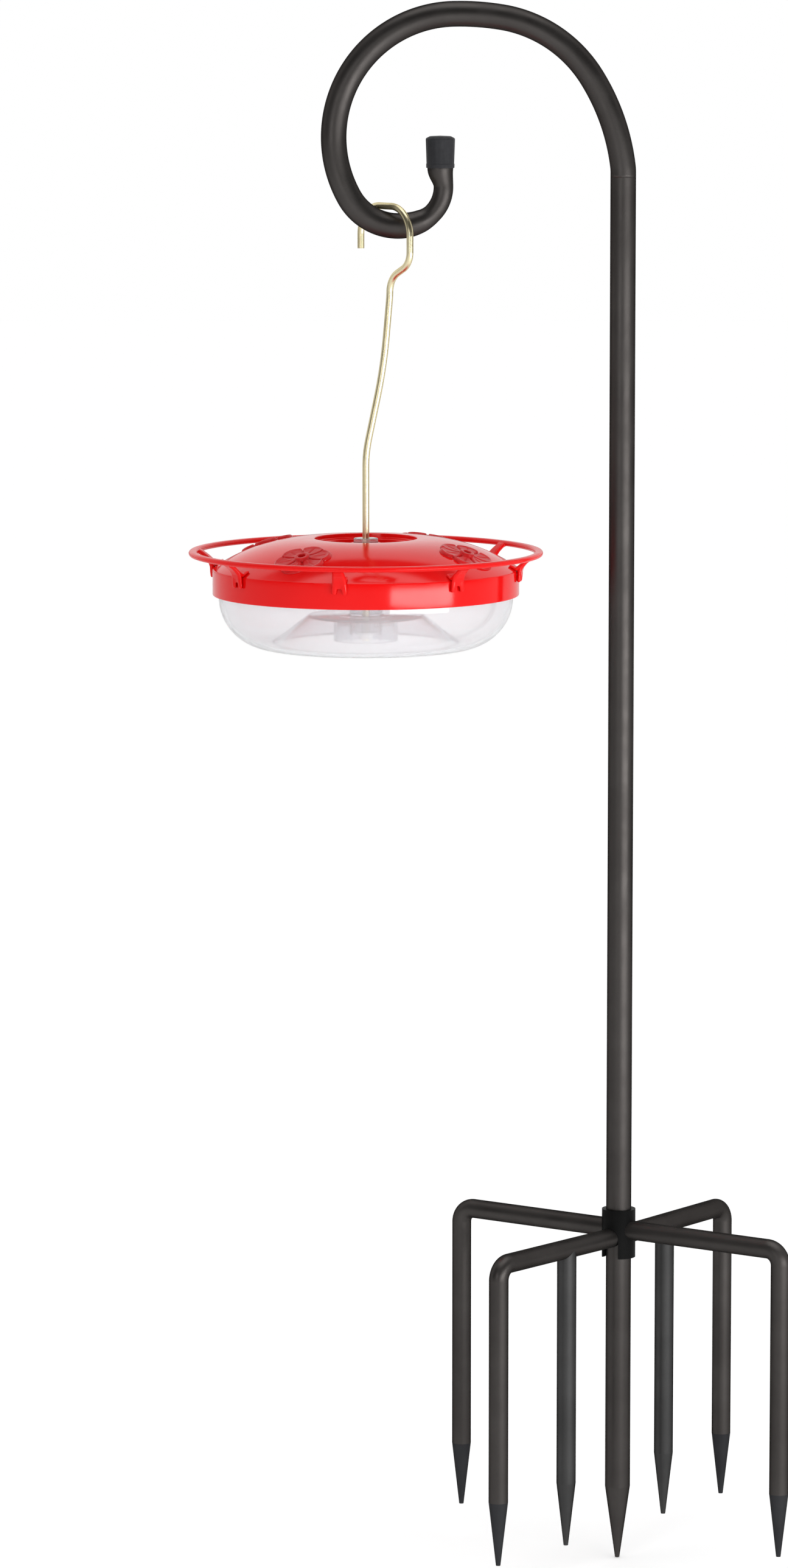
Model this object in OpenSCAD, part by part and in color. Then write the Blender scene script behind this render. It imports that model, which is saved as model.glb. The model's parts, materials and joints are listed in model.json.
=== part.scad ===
// Short shepherd's hook pole with a pronged ground stake, carrying a round
// saucer feeder for nectar on a bent hanging rod. Millimetres, +Z up. The origin
// lies on the pole's axis at ground level, under the arms of the stake.
// The hook leans towards -X and the feeder hangs under its curl.

/* [Pole] */
// Outside diameter of the pole and hook tube
tube_d = 15; // [13:0.5:17]
// Wall of the tube
tube_wall = 1.2; // [0.9:0.1:1.6]
// Height of the joint between pole and hook above the ground
pole_h = 635.7; // [560:0.1:900]
// Length of a necked end that slips into the pole
neck_len = 40; // [20:1:60]
// Thickness of the solid shoulder between a tube and its necked end
neck_shoulder = 3; // [2:0.5:6]
// Radial clearance of a necked end in the pole
neck_gap = 0.1; // [0.05:0.05:0.3]

/* [Hook] */
// Radius of the slight first bend above the joint
lead_r = 28; // [22:1:40]
// Angle of the first bend
lead_bend = 7; // [4:0.5:10]
// Radius of the shoulder arc
shoulder_r = 126; // [110:0.5:140]
// Angle of the shoulder arc
shoulder_bend = 25.3; // [20:0.1:30]
// Radius of the arc over the top
crown_r = 76.6; // [70:0.1:84]
// Angle of the arc over the top
crown_bend = 48.4; // [44:0.1:52]
// Radius of the flatter arc just past the top
brow_r = 151; // [130:1:170]
// Angle of that flatter arc
brow_bend = 10.8; // [8:0.1:13]
// Radius of the arc down the far side
flank_r = 71.7; // [66:0.1:78]
// Angle of the arc down the far side
flank_bend = 117.5; // [114:0.5:121]
// Radius of the curl that carries the feeder
curl_r = 32.8; // [31:0.1:36]
// Angle of the curl
curl_bend = 86.3; // [84:0.1:90]
// Radius of the last bend, which brings the nose upright
nose_r = 21.8; // [19:0.1:26]
// Diameter of the drawn-down nose
nose_d = 11.5; // [10.5:0.1:12.5]
// Diameter of the flared end under the cap
flare_d = 15.2; // [14.4:0.1:16]
// Height of the flare
flare_len = 11; // [8:0.5:14]

/* [Cap] */
// Wall of the rubber cap at its mouth
cap_wall = 0.7; // [0.5:0.1:1.2]
// Height of the cap
cap_h = 18.8; // [14:0.2:24]
// How far the cap swells from mouth to top, on the radius
cap_swell = 0.4; // [0:0.1:0.8]
// Thickness of the cap's top
cap_top = 2.4; // [1.6:0.2:3.4]

/* [Ground stake] */
// Diameter of the prong rods
prong_d = 11.5; // [9:0.5:13]
// Distance of the outer prongs from the pole's axis
prong_reach = 114.3; // [80:0.1:140]
// Distance of the two inner prongs from the pole's axis
inner_reach = 50; // [34:0.5:70]
// Turn of the four arms about the pole
stake_turn = -35.6; // [-60:0.1:-20]
// Turn of the front left arm out of square with the others
front_left_skew = -4; // [-8:0.5:8]
// Centreline radius of each arm's bend
elbow_r = 9; // [8:0.5:14]
// Height of the lower pair of arms, at their centreline
arm_low_z = 5.9; // [5.8:0.1:7]
// How much higher the upper pair of arms lies
arm_step = 4.7; // [3:0.1:6]
// Depth of the prong points below the ground
prong_depth = 173.3; // [120:0.1:240]
// Length of the prongs' points
point_len = 38; // [26:0.5:48]
// Width of the blunt end of each point
point_flat = 2.7; // [1.5:0.1:4]
// Diameter of the spigot that fixes a separate point
spigot_d = 6.5; // [5:0.1:7.5]
// Length of that spigot
spigot_len = 12; // [8:0.5:20]
// Radial clearance of a spigot in its socket
spigot_gap = 0.05; // [0.02:0.01:0.2]
// Depth of the central spike below the ground
spike_depth = 190; // [150:0.5:260]
// Length of the central spike's point
spike_point_len = 43.7; // [30:0.1:56]

/* [Collar] */
// Outside diameter of the collar
collar_d = 20; // [19:0.2:23]
// Height of the collar's top above the ground
collar_top = 22.8; // [20:0.1:30]
// Depth of the collar's bottom below the ground
collar_bottom = 6.3; // [4:0.1:12]
// Radial clearance between the collar and the tubes or arms
collar_gap = 0.1; // [0.05:0.05:0.2]

/* [Hanging rod] */
// Diameter of the hanging rod
rod_d = 4; // [3:0.1:4.4]
// Distance between the centrelines of the crook's two legs
crook_w = 44.8; // [43:0.1:52]
// Bend radius at each shoulder of the crook
crook_r = 17; // [13:0.5:20]
// Turn of the crook's plane from the hook's plane
crook_turn = 50; // [49:1:60]
// Distance round the curl at which the crook rests, as an angle
seat_bend = 47.8; // [46:0.1:56]
// Clearance between crook and hook tube straight above the seat, where the tube climbs away
seat_gap = 1.3; // [1.3:0.05:2]
// Length of the free leg below the crook
free_leg = 8.5; // [3:0.5:14]
// Length of the long leg above the jog
long_leg = 9.2; // [6:0.1:14]
// Sideways shift of the jog
jog_shift = 18.3; // [16:0.1:20]
// Bend radius at the top of the jog
jog_top_r = 11; // [9:0.5:12]
// Bend radius at the bottom of the jog
jog_bottom_r = 12.8; // [10:0.1:14]
// Angle of the jog
jog_bend = 63; // [58:1:66]
// Distance of the feeder's axis from the crook, towards the hook's back
hang_offset = 11.5; // [9:0.1:15]
// First lean of the stem
lean_start = 5; // [3:0.5:6]
// Further lean of the stem
lean_more = 7; // [6:0.5:9]
// Length of the stem at its first lean
lean_run = 22; // [10:1:24]
// Bend radius between jog and stem
lean_start_r = 40; // [30:1:60]
// Bend radius of the slow bend in the stem
lean_more_r = 300; // [220:10:320]
// Bend radius that brings the stem upright again
upright_r = 80; // [60:1:90]
// Drop from the crook's centreline to the top of the feeder
hang_drop = 194.9; // [188:0.1:260]

/* [Feeder cover] */
// Outside radius of the cover's band
band_r = 90.4; // [80:0.1:100]
// Height of the band
band_h = 15.1; // [12:0.1:20]
// Height of the whole cover
cover_h = 33.3; // [30:0.1:40]
// Wall of the cover
cover_wall = 2; // [1.6:0.1:2.4]
// Outside radius of the rim round the ant moat
moat_rim_r = 31.7; // [28:0.1:36]
// Width of that rim
moat_rim_w = 1.5; // [1:0.1:2.5]
// Depth of the shallow step inside the rim
moat_step = 2.8; // [1.5:0.1:4]
// Inside radius of the deep part of the moat
moat_r = 26; // [22:0.1:27]
// Depth of the moat below the rim
moat_depth = 23.9; // [18:0.1:25]
// Thickness of the flange round the moat's cup
flange_t = 1; // [0.8:0.1:1.2]
// Clearance between the lifting cover and the basin
lift_gap = 0.3; // [0.2:0.05:0.5]

/* [Perch ring] */
// Centreline radius of the perch ring
perch_r = 101.9; // [97:0.1:112]
// Radial width of the ring's section
perch_w = 5; // [4:0.1:6]
// Thickness of the ring's section
perch_t = 3.2; // [2.4:0.1:4]
// Height of the ring above the band's lower edge
perch_z = 24.6; // [22:0.1:28]
// Number of spokes
spoke_n = 8; // [4:1:12]
// Turn of the first spoke from straight ahead
spoke_turn = -9.4; // [-22:0.1:22]
// Width of a spoke at the ring
spoke_ring_w = 6; // [3.5:0.1:7]
// Width of a spoke across its two toes
spoke_foot_w = 9.2; // [7:0.1:11]
// Width of the notch between the toes
toe_notch = 2.8; // [2:0.1:4]
// Thickness of a spoke
spoke_t = 2.2; // [1.6:0.1:3]
// How far the toes hang down the band
toe_hang = 6; // [3:0.1:8]
// Clearance between the toes and the cover
toe_gap = 0.05; // [0.02:0.01:0.15]

/* [Flower ports] */
// Distance of the flowers from the feeder's axis
flower_ring_r = 69.1; // [62:0.1:74]
// Width of a flower over its petals
flower_d = 32.4; // [28:0.1:34]
// Number of petals
petal_n = 6; // [5:1:7]
// Width of one petal
petal_d = 12.3; // [10:0.1:14]
// Radius of each petal's domed top
petal_dome_r = 8.6; // [8.4:0.1:14]
// Height of the petals above the cover
petal_h = 2.2; // [1.4:0.1:3]
// Height of the web between the petals
web_h = 1.3; // [0.8:0.1:1.8]
// Diameter of the feeding hole
port_d = 4.4; // [3.6:0.1:5]
// Wall of the port's tube
port_wall = 1.4; // [1:0.1:2]
// Diameter of the eye round the feeding hole
eye_d = 9.4; // [7:0.1:10]
// Height of that eye above the cover
eye_h = 3.4; // [2.4:0.1:4]
// Length of the port's tube below the cover's outer face
port_len = 7; // [5:0.1:9]

/* [Basin] */
// Outside radius of the clear basin
basin_r = 86.8; // [84:0.1:87.4]
// Depth of the basin below the cover
basin_depth = 31.4; // [26:0.1:40]
// Radius of the basin's rounded side
bowl_r = 30; // [22:0.5:31]
// Wall of the basin
basin_wall = 2.2; // [1.6:0.1:2.6]
// Height of the basin's lip inside the cover
lip_h = 12.5; // [9:0.1:12.8]
// Radius of the central rise at the basin's floor
rise_foot_r = 55; // [48:0.5:56]
// Radius of the central rise at its top
rise_top_r = 34; // [30:0.5:38]
// Depth of the rise's top below the cover
rise_top_z = 12; // [11:0.1:14]
// Radius of the post that the cover slides on
post_r = 7.2; // [6:0.1:9]
// Radius of the post's lower part
post_low_r = 9.7; // [9.4:0.1:11]
// Radius of the skirt under the rise
skirt_r = 19; // [16:0.1:24]
// Number of ribs between post and skirt
rib_n = 6; // [3:1:8]
// Thickness of those ribs
rib_t = 1.6; // [1.2:0.1:2.4]
// Depth of the ribs' lower edge below the cover
rib_end_z = 19; // [16:0.1:19.5]
// Depth of the post's lower end below the cover
post_end_z = 23; // [20:0.1:24]
// Running clearance of the rod in the post
rod_gap = 0.05; // [0.02:0.01:0.1]
// Width of the rod's nut across its flats
nut_w = 7; // [6.5:0.1:8]
// Thickness of the nut
nut_t = 3.2; // [2.5:0.1:4]
// Diameter of the washer above the nut
washer_d = 12; // [10:0.5:16]
// Thickness of the washer
washer_t = 1; // [0.8:0.1:1.6]
// Clearance between the washer and the post
washer_gap = 0.3; // [0.2:0.05:0.5]

/* [Hidden] */
$fn = 48;
// A short length that lets one cut run past a face
past = 1;
// Sides of the hook's section, and turn from one section to the next
hook_sides = 24;
hook_step = 5;
// Flowers round the cover
flower_n = 4;
// Length and rise of the seam bands on bent rods
land_len = 0.4;
land_rise = 0.02;

// Rod and tube shapes are bending tables. Each row is
// [straight feed, roll about the rod, bend radius, bend angle].
neck_d = tube_d - 2 * tube_wall - 2 * neck_gap;
arm_high_z = arm_low_z + arm_step;

// The hook turns through a full circle, so its last bend takes what is left.
nose_bend = 360 - lead_bend - shoulder_bend - crown_bend - brow_bend - flank_bend - curl_bend;
hook_rows = [
    [neck_shoulder, 0, lead_r, lead_bend],
    [0, 0, shoulder_r, shoulder_bend],
    [0, 0, crown_r, crown_bend],
    [0, 0, brow_r, brow_bend],
    [0, 0, flank_r, flank_bend],
    [0, 0, curl_r, curl_bend],
    [0, 0, nose_r, nose_bend]];
function turned(i) = i == 0 ? 0 : turned(i - 1) + hook_rows[i - 1][3];
curl_start = turned(5);
nose_start = turned(6);
// The full tube runs past the lowest point of the curl, then draws down.
taper_start = 273;
taper_end = nose_start + 23;

// Place and direction at the end of the first n rows of a planar table:
// [distance sideways, height, angle turned from straight up]
function walk(rows, n) = n == 0 ? [0, 0, 0] :
    let (p = walk(rows, n - 1), s = rows[n - 1], h = p[2] + s[3])
    [p[0] + s[0] * sin(p[2]) + s[2] * (cos(p[2]) - cos(h)),
     p[1] + s[0] * cos(p[2]) + s[2] * (sin(h) - sin(p[2])), h];

// Point on the hook's centreline, above the joint, after a turn of b degrees
function hook_at(b) = walk([for (i = [0 : len(hook_rows) - 1]) let (s = hook_rows[i])
    [s[0], 0, s[2], max(0, min(s[3], b - turned(i)))]], len(hook_rows));

hook_end = hook_at(360);
nose_x = -hook_end[0];
flare_z = pole_h + hook_end[1];
cap_z = flare_z + flare_len;
// The flare grows away from the hook's inside only on the pole's far side.
cap_x = nose_x - (flare_d - nose_d) / 2;
cap_r = flare_d / 2 + cap_wall;
cap_dome_r = 4 * cap_r;

// Seat of the hanging rod on the curl
seat = hook_at(curl_start + seat_bend);
seat_x = -seat[0];
seat_z = pole_h + seat[1];
crook_z = seat_z + tube_d / 2 + rod_d / 2 + seat_gap;

// Feeder
feeder_x = seat_x - hang_offset;
feeder_z = crook_z - hang_drop - cover_h;
dome_r = (pow(band_r - moat_rim_r, 2) + pow(cover_h - band_h, 2)) / (2 * (cover_h - band_h));
function dome_z(r) = cover_h - dome_r + sqrt(pow(dome_r, 2) - pow(r - moat_rim_r, 2));
function dome_slope(r) = asin((r - moat_rim_r) / dome_r);
sleeve_ir = post_r + lift_gap;
sleeve_r = sleeve_ir + cover_wall;
moat_z = cover_h - moat_depth;
flange_r = moat_rim_r - moat_rim_w;
flange_z = cover_h - moat_step - flange_t;
band_ir = band_r - cover_wall;
seat_ledge_z = lip_h + lift_gap;
post_low_top = moat_z - cover_wall - lift_gap;

// Hanging rod: free leg, crook, long leg, jog, leaning stem, upright end
rod_end_z = feeder_z - post_end_z - washer_gap - washer_t - nut_t - rod_d / 4;
stem_x = (crook_w / 2 - jog_shift) * cos(crook_turn);
stem_y = -(crook_w / 2 - jog_shift) * sin(crook_turn);
stem_span = norm([hang_offset + stem_x, stem_y]);
stem_heading = atan2(-stem_y, -hang_offset - stem_x);
lean = lean_start + lean_more;
jog_run = (jog_shift - (jog_top_r + jog_bottom_r) * (1 - cos(jog_bend))) / sin(jog_bend);
jog_drop = (jog_top_r + jog_bottom_r) * sin(jog_bend) + jog_run * cos(jog_bend);
lean_end_run = (stem_span - lean_start_r * (1 - cos(lean_start)) - lean_run * sin(lean_start)
    - lean_more_r * (cos(lean_start) - cos(lean)) - upright_r * (1 - cos(lean))) / sin(lean);
stem_drop = lean_start_r * sin(lean_start) + lean_run * cos(lean_start)
    + lean_more_r * (sin(lean) - sin(lean_start)) + lean_end_run * cos(lean)
    + upright_r * sin(lean);
upright_run = crook_z - crook_r - long_leg - jog_drop - stem_drop - rod_end_z;
rod_rows = [
    [free_leg, 0, crook_r, 90],
    [crook_w - 2 * crook_r, 0, crook_r, 90],
    [long_leg, 0, jog_top_r, jog_bend],
    [jog_run, 180, jog_bottom_r, jog_bend],
    [0, -crook_turn - stem_heading, lean_start_r, lean_start],
    [lean_run, 0, lean_more_r, lean_more],
    [lean_end_run, 180, upright_r, lean],
    [upright_run, 0, 0, 0]];

// ---- shared shapes ----

// A band that hides the seam between two lengths of a bent rod
module land(d) {
    translate([0, 0, -land_len / 2]) cylinder(h = land_len, d = d + land_rise);
}

// A straight length, then a bend towards +X, then the rest of the table
module bent_bar(rows, d, i = 0) {
    if (i < len(rows)) {
        feed = rows[i][0];
        if (i > 0) land(d);
        if (feed > 0) cylinder(h = feed, d = d);
        translate([0, 0, feed]) rotate([0, 0, rows[i][1]]) {
            r = rows[i][2];
            a = rows[i][3];
            if (a > 0) {
                if (feed > 0) land(d);
                translate([r, 0, 0]) rotate([90, 0, 180])
                    rotate_extrude(angle = a) translate([r, 0]) circle(d = d);
                translate([r, 0, 0]) rotate([0, a, 0]) translate([-r, 0, 0])
                    bent_bar(rows, d, i + 1);
            }
        }
    }
}

// A ground point: cone with a blunt end, pointing down from z = 0
module point(d, len, flat) {
    rotate([180, 0, 0]) cylinder(h = len, d1 = d, d2 = flat);
}

// ---- pole and hook ----

// Stations along the hook: [turn, height above or below its bends, diameter]
function ease(t) = let (c = max(0, min(1, t))) c * c * (3 - 2 * c);
function hook_d(b) = tube_d - (tube_d - nose_d)
    * ease((b - taper_start) / (taper_end - taper_start));
hook_stations = concat(
    [[0, -neck_shoulder - neck_len, neck_d]],
    [[0, -neck_shoulder, neck_d]],
    [[0, -neck_shoulder, tube_d]],
    [for (b = [0 : hook_step : 360]) [b, 0, hook_d(b)]],
    [for (t = [1 : 4]) [360, t / 4 * flare_len, nose_d + (flare_d - nose_d) * ease(t / 4)]],
    [[360, flare_len + cap_h - cap_top, flare_d]]);
// The flare keeps the nose's outer side straight, so its centre moves inwards.
hook_points = [for (s = hook_stations)
    let (p = hook_at(s[0]), r = s[2] / 2, x = p[0] + (s[0] == 360 ? r - nose_d / 2 : 0))
    for (k = [0 : hook_sides - 1]) let (a = 360 * k / hook_sides)
        [-(x + r * cos(a) * cos(p[2])), r * sin(a), p[1] + s[1] - r * cos(a) * sin(p[2])]];
hook_faces = concat(
    [[for (k = [0 : hook_sides - 1]) k]],
    [for (j = [0 : len(hook_stations) - 2], k = [0 : hook_sides - 1])
        let (n = (k + 1) % hook_sides, a = j * hook_sides, b = a + hook_sides)
        each [[a + k, b + k, a + n], [a + n, b + k, b + n]]],
    [[for (k = [hook_sides - 1 : -1 : 0]) (len(hook_stations) - 1) * hook_sides + k]]);

module hook_tube() {
    color([0.31, 0.30, 0.29]) translate([0, 0, pole_h]) polyhedron(hook_points, hook_faces);
}

module hook_cap() {
    color([0.16, 0.16, 0.18]) translate([cap_x, 0, cap_z]) difference() {
        intersection() {
            cylinder(h = cap_h, r1 = cap_r, r2 = cap_r + cap_swell);
            translate([0, 0, cap_h - cap_dome_r]) sphere(r = cap_dome_r);
        }
        translate([0, 0, -past]) cylinder(h = cap_h - cap_top + past, d = flare_d);
    }
}

module pole_tube() {
    color([0.31, 0.30, 0.29]) difference() {
        translate([0, 0, socket_z]) cylinder(h = pole_h - socket_z, d = tube_d);
        translate([0, 0, socket_z - past])
            cylinder(h = pole_h - socket_z + 2 * past, d = tube_d - 2 * tube_wall);
    }
}

// ---- ground stake ----

// The pole's foot and the spike meet inside the collar, above the arms.
socket_z = (arm_high_z + prong_d / 2 + collar_top) / 2;
prong_end_z = point_len - prong_depth;
front_left_turn = stake_turn + 270 + front_left_skew;
spike_end_z = spike_point_len - spike_depth;

module base_spike() {
    color([0.30, 0.29, 0.28]) difference() {
        union() {
            translate([0, 0, spike_end_z]) cylinder(h = socket_z - spike_end_z, d = tube_d);
            translate([0, 0, socket_z]) cylinder(h = neck_len, d = neck_d);
        }
        translate([0, 0, spike_end_z - past])
            cylinder(h = spigot_len + 2 * past, d = spigot_d + 2 * spigot_gap);
    }
}

module spike_tip() {
    color([0.27, 0.27, 0.27]) translate([0, 0, spike_end_z]) {
        point(tube_d, spike_point_len, point_flat);
        cylinder(h = spigot_len, d = spigot_d);
    }
}

module base_collar() {
    color([0.09, 0.09, 0.09]) difference() {
        translate([0, 0, -collar_bottom])
            cylinder(h = collar_top + collar_bottom, d = collar_d);
        translate([0, 0, -collar_bottom - past])
            cylinder(h = collar_top + collar_bottom + 2 * past, d = tube_d + 2 * collar_gap);
        // Notches that drop over the lower pair of arms
        for (turn = [stake_turn + 90, front_left_turn]) rotate([0, 0, turn]) {
            notch_d = prong_d + 2 * collar_gap;
            translate([0, 0, arm_low_z]) rotate([0, 90, 0]) cylinder(h = collar_d, d = notch_d);
            translate([0, -notch_d / 2, -collar_bottom - past])
                cube([collar_d, notch_d, arm_low_z + collar_bottom + past]);
        }
    }
}

// An arm with its bend and leg, coped to fit the round that it meets
module prong(turn, z, root_d) {
    leg = z - elbow_r - prong_end_z;
    color([0.30, 0.29, 0.28]) difference() {
        translate([0, 0, z]) rotate([0, 0, turn]) rotate([0, 90, 0])
            bent_bar([[prong_reach - elbow_r, 0, elbow_r, 90], [leg, 0, 0, 0]], prong_d);
        translate([0, 0, z - prong_d]) cylinder(h = 2 * prong_d, d = root_d);
        rotate([0, 0, turn]) translate([prong_reach, 0, prong_end_z - past])
            cylinder(h = spigot_len + 2 * past, d = spigot_d + 2 * spigot_gap);
    }
}

module prong_tip(turn) {
    color([0.20, 0.21, 0.22]) rotate([0, 0, turn]) translate([prong_reach, 0, prong_end_z]) {
        point(prong_d, point_len, point_flat);
        cylinder(h = spigot_len, d = spigot_d);
    }
}

// A straight prong under one of the lower arms
module inner_prong(turn) {
    color([0.30, 0.30, 0.31]) rotate([0, 0, turn]) difference() {
        translate([inner_reach, 0, prong_end_z]) {
            cylinder(h = arm_low_z - prong_end_z, d = prong_d);
            point(prong_d, point_len, point_flat);
        }
        translate([inner_reach - prong_d, 0, arm_low_z]) rotate([0, 90, 0])
            cylinder(h = 2 * prong_d, d = prong_d);
    }
}

module prong_front_right() { prong(stake_turn, arm_high_z, collar_d); }
module prong_back_right() { prong(stake_turn + 90, arm_low_z, tube_d); }
module prong_back_left() { prong(stake_turn + 180, arm_high_z, collar_d); }
module prong_front_left() { prong(front_left_turn, arm_low_z, tube_d); }
module tip_front_right() { prong_tip(stake_turn); }
module tip_back_right() { prong_tip(stake_turn + 90); }
module tip_back_left() { prong_tip(stake_turn + 180); }
module tip_front_left() { prong_tip(front_left_turn); }
module inner_prong_front() { inner_prong(front_left_turn); }
module inner_prong_back() { inner_prong(stake_turn + 90); }

// ---- hanging rod ----

module hanger_rod() {
    color([0.83, 0.75, 0.52]) translate([seat_x, 0, crook_z]) rotate([0, 0, -crook_turn])
        translate([-crook_w / 2, 0, -crook_r - free_leg]) bent_bar(rod_rows, rod_d);
}

washer_z = feeder_z - post_end_z - washer_gap - washer_t;

module rod_washer() {
    color([0.90, 0.90, 0.88]) translate([feeder_x, 0, washer_z]) difference() {
        cylinder(h = washer_t, d = washer_d);
        translate([0, 0, -past]) cylinder(h = washer_t + 2 * past, d = rod_d);
    }
}

module rod_nut() {
    color([0.90, 0.90, 0.88]) translate([feeder_x, 0, washer_z - nut_t]) difference() {
        cylinder(h = nut_t, d = nut_w / cos(30), $fn = 6);
        translate([0, 0, -past]) cylinder(h = nut_t + 2 * past, d = rod_d);
    }
}

// ---- feeder ----

// Half section of everything under the dome, shrunk by t
module dome_2d(t) {
    square([moat_rim_r, cover_h - t]);
    intersection() {
        translate([moat_rim_r, cover_h - dome_r]) circle(r = dome_r - t, $fn = 180);
        square([band_r, cover_h]);
    }
}

module cover_2d() {
    difference() {
        union() {
            difference() {
                dome_2d(0);
                // Hollow under the dome, with the ledge that rests on the basin's lip
                intersection() {
                    dome_2d(cover_wall);
                    square([band_ir - 2 * cover_wall, cover_h]);
                }
                translate([0, -past]) square([band_ir, seat_ledge_z + past]);
            }
            translate([moat_r, cover_h - moat_step - cover_wall])
                square([moat_rim_r - moat_r, moat_step + cover_wall]);
        }
        // Round hole for the moat's cup, with the ledge that carries its flange
        translate([0, -past]) square([moat_r + cover_wall, cover_h + 2 * past]);
        translate([0, flange_z]) square([flange_r, cover_h]);
    }
}

// The moat's cup: a ring-shaped trough round the sleeve that slides on the post
module moat_2d() {
    difference() {
        union() {
            translate([sleeve_ir, moat_z - cover_wall])
                square([moat_r + cover_wall - sleeve_ir, moat_depth + cover_wall - moat_step]);
            translate([moat_r, flange_z]) square([flange_r - moat_r, flange_t]);
        }
        translate([sleeve_r, moat_z]) square([moat_r - sleeve_r, cover_h]);
    }
}

module at_flower(i) {
    turn = spoke_turn + 1.5 * 360 / spoke_n + 360 / flower_n * i;
    rotate([0, 0, turn - 90]) translate([flower_ring_r, 0, dome_z(flower_ring_r)])
        rotate([0, dome_slope(flower_ring_r), 0]) children();
}

module feeder_cover() {
    color([0.84, 0.07, 0.06]) translate([feeder_x, 0, feeder_z]) difference() {
        rotate_extrude($fn = 120) cover_2d();
        for (i = [0 : flower_n - 1]) at_flower(i) translate([0, 0, -3 * cover_wall])
            cylinder(h = 6 * cover_wall, r = port_tube_r + toe_gap);
    }
}

module ant_moat() {
    color([0.84, 0.07, 0.06]) translate([feeder_x, 0, feeder_z])
        rotate_extrude($fn = 120) moat_2d();
}

// One spoke, seen from the side: from the ring down to the band, with its toe
module spoke_2d() {
    difference() {
        polygon([
            [perch_r, perch_z - perch_t / 2],
            [perch_r, perch_z + perch_t / 2],
            [perch_r - perch_w / 2, perch_z + perch_t / 2],
            [band_r - 2 * spoke_t, dome_z(band_r - 2 * spoke_t) + spoke_t],
            [band_r - 2 * spoke_t, 0],
            [band_r, band_h - toe_hang],
            [band_r + spoke_t, band_h - toe_hang],
            [band_r + spoke_t, band_h]]);
        dome_2d(-toe_gap);
        square([band_r + toe_gap, band_h]);
    }
}

module spoke() {
    inner = band_r - 2 * spoke_t;
    intersection() {
        rotate([90, 0, 0]) translate([0, 0, -spoke_foot_w])
            linear_extrude(2 * spoke_foot_w) spoke_2d();
        linear_extrude(cover_h) difference() {
            polygon([
                [inner, -spoke_foot_w / 2],
                [band_r + spoke_t, -spoke_foot_w / 2],
                [perch_r, -spoke_ring_w / 2],
                [perch_r, spoke_ring_w / 2],
                [band_r + spoke_t, spoke_foot_w / 2],
                [inner, spoke_foot_w / 2]]);
            polygon([
                [inner - past, -toe_notch / 2],
                [band_r + spoke_t, -toe_notch / 2],
                [band_r + 2 * spoke_t, 0],
                [band_r + spoke_t, toe_notch / 2],
                [inner - past, toe_notch / 2]]);
        }
    }
}

module perch_ring() {
    color([0.84, 0.07, 0.06]) translate([feeder_x, 0, feeder_z]) {
        rotate_extrude($fn = 120) translate([perch_r, perch_z]) {
            flat_w = perch_w - perch_t;
            square([flat_w, perch_t], center = true);
            for (side = [-1, 1]) translate([side * flat_w / 2, 0]) circle(d = perch_t);
        }
        for (i = [0 : spoke_n - 1])
            rotate([0, 0, spoke_turn - 90 + 360 / spoke_n * i]) spoke();
    }
}

// Flower: six domed petals round a raised eye, and a tube through the cover
petal_ring_r = (flower_d - petal_d) / 2;
port_tube_r = port_d / 2 + port_wall;

module petal() {
    rotate_extrude() intersection() {
        translate([0, -petal_h]) square([petal_d / 2, 2 * petal_h]);
        translate([0, petal_h - petal_dome_r]) circle(r = petal_dome_r);
    }
}

module flower(i) {
    color([0.80, 0.05, 0.05]) translate([feeder_x, 0, feeder_z]) difference() {
        union() {
            difference() {
                at_flower(i) {
                    for (k = [0 : petal_n - 1]) rotate([0, 0, 360 / petal_n * k])
                        translate([petal_ring_r, 0, 0]) petal();
                    translate([0, 0, -petal_h]) cylinder(h = petal_h + web_h, r = petal_ring_r);
                    translate([0, 0, -petal_h]) cylinder(h = eye_h + petal_h, d = eye_d);
                }
                rotate_extrude($fn = 120) dome_2d(0);
            }
            at_flower(i) translate([0, 0, -port_len]) cylinder(h = port_len, r = port_tube_r);
        }
        at_flower(i) translate([0, 0, -port_len - past])
            cylinder(h = port_len + eye_h + 2 * past, d = port_d);
    }
}

module flower_1() { flower(0); }
module flower_2() { flower(1); }
module flower_3() { flower(2); }
module flower_4() { flower(3); }

// Half section of the bowl, shrunk by t
module bowl_2d(t) {
    bottom = -basin_depth;
    translate([0, bottom + t]) square([basin_r - bowl_r, basin_depth]);
    translate([0, bottom + bowl_r]) square([basin_r - t, lip_h + basin_depth - bowl_r]);
    intersection() {
        translate([basin_r - bowl_r, bottom + bowl_r]) circle(r = bowl_r - t, $fn = 120);
        translate([0, bottom]) square([basin_r, bowl_r]);
    }
}

module basin_2d() {
    bottom = -basin_depth;
    wall = basin_wall;
    difference() {
        union() {
            difference() {
                bowl_2d(0);
                bowl_2d(wall);
                translate([0, lip_h - past]) square([basin_r - wall, 2 * past]);
            }
            polygon([[0, bottom], [0, -rise_top_z], [rise_top_r, -rise_top_z],
                [rise_foot_r, bottom + wall], [rise_foot_r, bottom]]);
        }
        polygon([[0, bottom - past], [0, -rise_top_z - wall],
            [rise_top_r - wall / 2, -rise_top_z - wall],
            [rise_foot_r - wall / 2, bottom], [rise_foot_r - wall / 2, bottom - past]]);
    }
    translate([0, -post_end_z]) square([post_low_r, post_end_z + post_low_top]);
    translate([0, post_low_top - past]) square([post_r, cover_h - post_low_top + past]);
    translate([skirt_r - wall, bottom + wall])
        square([wall, basin_depth - rise_top_z - 1.5 * wall]);
}

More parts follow.
